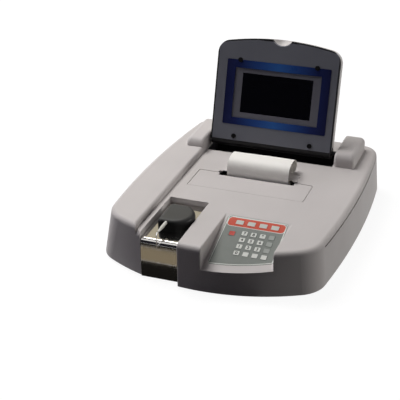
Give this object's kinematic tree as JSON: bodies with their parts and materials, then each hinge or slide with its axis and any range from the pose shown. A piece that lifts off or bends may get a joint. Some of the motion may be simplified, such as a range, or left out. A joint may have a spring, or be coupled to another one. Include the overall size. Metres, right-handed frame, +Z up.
{
  "type": "benchtop chemistry analyzer",
  "caption": "Benchtop chemistry analyzer: soft-edged, nearly upright case, tilting display lid, sloped membrane keypad, steel splash plate with sampling needle, strip printer.",
  "frame": {"origin": "on the table, in the middle of the width and depth of the case", "axes": "+X to the instrument's right seen from its front, +Y to its back, +Z up"},
  "size_m": [0.398, 0.448, 0.2756],
  "materials": {
    "casing": "fine moulded texture",
    "lid_shell": "fine moulded texture",
    "dark_plastic": "satin",
    "dark_rubber": "matt",
    "tray_metal": "plain painted",
    "panel_metal": "zinc plated sheet",
    "polished_steel": "polished",
    "needle_steel": "drawn tube",
    "screw_steel": "plated",
    "white_plastic": "satin",
    "membrane": "printed film",
    "circuit_film": "film",
    "bezel": "satin",
    "blue_frame": "printed blue fading to navy",
    "screen_frame": "glass over grey print",
    "aluminium": "milled",
    "paper": "thermal paper",
    "dark_metal": "black anodised",
    "motor_steel": "plated",
    "pump_plastic": "moulded",
    "board_green": "solder mask",
    "port_metal": "plated shells",
    "switch_black": "moulded",
    "key_white": "printed film",
    "key_grey": "printed film",
    "key_red": "printed film"
  },
  "bodies": {
    "base": {"top_casing": "casing", "hinge_trough": "dark_plastic", "aspirator_hood": "dark_plastic", "base_tray": "tray_metal", "rear_panel": "panel_metal", "splash_plate": "polished_steel", "aspirator_needle": "needle_steel", "needle_sleeve": "white_plastic", "rubber_feet": "dark_rubber", "case_screws": "screw_steel", "keypad_overlay": "membrane", "keypad_circuit": "circuit_film", "tear_bar": "polished_steel", "printer_frame": "dark_plastic", "print_head": "aluminium", "paper_strip": "paper", "optics_bench": "aluminium", "lamp_housing": "aluminium", "filter_motor": "motor_steel", "flow_cell": "dark_metal", "pump_body": "pump_plastic", "power_supply": "panel_metal", "main_board": "board_green", "rear_ports": "port_metal", "power_entry": "dark_plastic", "cooling_fan": "dark_plastic"},
    "lid": {"lid_back_shell": "lid_shell", "lid_bezel": "bezel", "display_frame": "blue_frame", "lcd_module": "screen_frame", "lid_caps": "dark_rubber", "lid_barrel": "dark_plastic"},
    "printer_door": {"printer_cover": "casing"},
    "platen": {"platen_roller": "dark_rubber"},
    "roll": {"paper_roll": "paper"},
    "wheel": {"filter_wheel": "dark_metal"},
    "pump_head": {"pump_rotor": "white_plastic"},
    "fan_wheel": {"fan_rotor": "dark_plastic"},
    "power_rocker": {"rocker_switch": "switch_black"},
    "menu_key_1_cap": {"menu_key_1": "key_white"},
    "menu_key_2_cap": {"menu_key_2": "key_white"},
    "menu_key_3_cap": {"menu_key_3": "key_white"},
    "menu_key_4_cap": {"menu_key_4": "key_white"},
    "stop_key_cap": {"stop_key": "key_red"},
    "key_7_cap": {"key_7": "key_white"},
    "key_8_cap": {"key_8": "key_white"},
    "key_9_cap": {"key_9": "key_white"},
    "key_yes_cap": {"key_yes": "key_grey"},
    "key_4_cap": {"key_4": "key_white"},
    "key_5_cap": {"key_5": "key_white"},
    "key_6_cap": {"key_6": "key_white"},
    "key_no_cap": {"key_no": "key_grey"},
    "key_1_cap": {"key_1": "key_white"},
    "key_2_cap": {"key_2": "key_white"},
    "key_3_cap": {"key_3": "key_white"},
    "key_print_cap": {"key_print": "key_grey"},
    "key_0_cap": {"key_0": "key_white"},
    "key_point_cap": {"key_point": "key_white"},
    "key_clear_cap": {"key_clear": "key_white"},
    "key_enter_cap": {"key_enter": "key_white"}
  },
  "joints": [
    {"name": "lid_hinge", "type": "hinge", "parent": "base", "child": "lid", "pos_m": [0, 0.1363, 0.094], "axis": [-1, 0, 0], "range_deg": [-108.8, 12], "deforming": ["paper_strip"]},
    {"name": "printer_cover_hinge", "type": "hinge", "parent": "base", "child": "printer_door", "pos_m": [0, -0.02675, 0.07875], "axis": [1, 0, 0], "range_deg": [0, 75]},
    {"name": "paper_roll_spin", "type": "hinge", "parent": "base", "child": "roll", "pos_m": [0.0157, -0.003, 0.0513], "axis": [1, 0, 0], "continuous": true},
    {"name": "platen_spin", "type": "hinge", "parent": "base", "child": "platen", "pos_m": [0.0157, 0.0213, 0.066], "axis": [1, 0, 0], "continuous": true},
    {"name": "filter_wheel_spin", "type": "hinge", "parent": "base", "child": "wheel", "pos_m": [-0.14, -0.03, 0.0345], "axis": [0, 1, 0], "continuous": true},
    {"name": "pump_spin", "type": "hinge", "parent": "base", "child": "pump_head", "pos_m": [-0.132, 0.129, 0.0295], "axis": [1, 0, 0], "continuous": true},
    {"name": "fan_spin", "type": "hinge", "parent": "base", "child": "fan_wheel", "pos_m": [-0.1, 0.195, 0.039], "axis": [0, 1, 0], "continuous": true},
    {"name": "power_rocker_tilt", "type": "hinge", "parent": "base", "child": "power_rocker", "pos_m": [0.1125, 0.205, 0.039], "axis": [1, 0, 0], "range_deg": [0, 12]},
    {"name": "menu_key_1_press", "type": "slide", "parent": "base", "child": "menu_key_1_cap", "axis": [0, 0.3007, -0.9537], "range_m": [0, 0.0004], "stiffness_N_per_m": 1500, "springref_m": -0.0004},
    {"name": "menu_key_2_press", "type": "slide", "parent": "base", "child": "menu_key_2_cap", "axis": [0, 0.3007, -0.9537], "range_m": [0, 0.0004], "stiffness_N_per_m": 1500, "springref_m": -0.0004},
    {"name": "menu_key_3_press", "type": "slide", "parent": "base", "child": "menu_key_3_cap", "axis": [0, 0.3007, -0.9537], "range_m": [0, 0.0004], "stiffness_N_per_m": 1500, "springref_m": -0.0004},
    {"name": "menu_key_4_press", "type": "slide", "parent": "base", "child": "menu_key_4_cap", "axis": [0, 0.3007, -0.9537], "range_m": [0, 0.0004], "stiffness_N_per_m": 1500, "springref_m": -0.0004},
    {"name": "stop_key_press", "type": "slide", "parent": "base", "child": "stop_key_cap", "axis": [0, 0.3007, -0.9537], "range_m": [0, 0.0004], "stiffness_N_per_m": 1500, "springref_m": -0.0004},
    {"name": "key_7_press", "type": "slide", "parent": "base", "child": "key_7_cap", "axis": [0, 0.3007, -0.9537], "range_m": [0, 0.0004], "stiffness_N_per_m": 1500, "springref_m": -0.0004},
    {"name": "key_8_press", "type": "slide", "parent": "base", "child": "key_8_cap", "axis": [0, 0.3007, -0.9537], "range_m": [0, 0.0004], "stiffness_N_per_m": 1500, "springref_m": -0.0004},
    {"name": "key_9_press", "type": "slide", "parent": "base", "child": "key_9_cap", "axis": [0, 0.3007, -0.9537], "range_m": [0, 0.0004], "stiffness_N_per_m": 1500, "springref_m": -0.0004},
    {"name": "key_yes_press", "type": "slide", "parent": "base", "child": "key_yes_cap", "axis": [0, 0.3007, -0.9537], "range_m": [0, 0.0004], "stiffness_N_per_m": 1500, "springref_m": -0.0004},
    {"name": "key_4_press", "type": "slide", "parent": "base", "child": "key_4_cap", "axis": [0, 0.3007, -0.9537], "range_m": [0, 0.0004], "stiffness_N_per_m": 1500, "springref_m": -0.0004},
    {"name": "key_5_press", "type": "slide", "parent": "base", "child": "key_5_cap", "axis": [0, 0.3007, -0.9537], "range_m": [0, 0.0004], "stiffness_N_per_m": 1500, "springref_m": -0.0004},
    {"name": "key_6_press", "type": "slide", "parent": "base", "child": "key_6_cap", "axis": [0, 0.3007, -0.9537], "range_m": [0, 0.0004], "stiffness_N_per_m": 1500, "springref_m": -0.0004},
    {"name": "key_no_press", "type": "slide", "parent": "base", "child": "key_no_cap", "axis": [0, 0.3007, -0.9537], "range_m": [0, 0.0004], "stiffness_N_per_m": 1500, "springref_m": -0.0004},
    {"name": "key_1_press", "type": "slide", "parent": "base", "child": "key_1_cap", "axis": [0, 0.3007, -0.9537], "range_m": [0, 0.0004], "stiffness_N_per_m": 1500, "springref_m": -0.0004},
    {"name": "key_2_press", "type": "slide", "parent": "base", "child": "key_2_cap", "axis": [0, 0.3007, -0.9537], "range_m": [0, 0.0004], "stiffness_N_per_m": 1500, "springref_m": -0.0004},
    {"name": "key_3_press", "type": "slide", "parent": "base", "child": "key_3_cap", "axis": [0, 0.3007, -0.9537], "range_m": [0, 0.0004], "stiffness_N_per_m": 1500, "springref_m": -0.0004},
    {"name": "key_print_press", "type": "slide", "parent": "base", "child": "key_print_cap", "axis": [0, 0.3007, -0.9537], "range_m": [0, 0.0004], "stiffness_N_per_m": 1500, "springref_m": -0.0004},
    {"name": "key_0_press", "type": "slide", "parent": "base", "child": "key_0_cap", "axis": [0, 0.3007, -0.9537], "range_m": [0, 0.0004], "stiffness_N_per_m": 1500, "springref_m": -0.0004},
    {"name": "key_point_press", "type": "slide", "parent": "base", "child": "key_point_cap", "axis": [0, 0.3007, -0.9537], "range_m": [0, 0.0004], "stiffness_N_per_m": 1500, "springref_m": -0.0004},
    {"name": "key_clear_press", "type": "slide", "parent": "base", "child": "key_clear_cap", "axis": [0, 0.3007, -0.9537], "range_m": [0, 0.0004], "stiffness_N_per_m": 1500, "springref_m": -0.0004},
    {"name": "key_enter_press", "type": "slide", "parent": "base", "child": "key_enter_cap", "axis": [0, 0.3007, -0.9537], "range_m": [0, 0.0004], "stiffness_N_per_m": 1500, "springref_m": -0.0004}
  ],
  "couplings": [
    {"joint": "platen_spin", "follows": "paper_roll_spin", "ratio": 3.4}
  ]
}
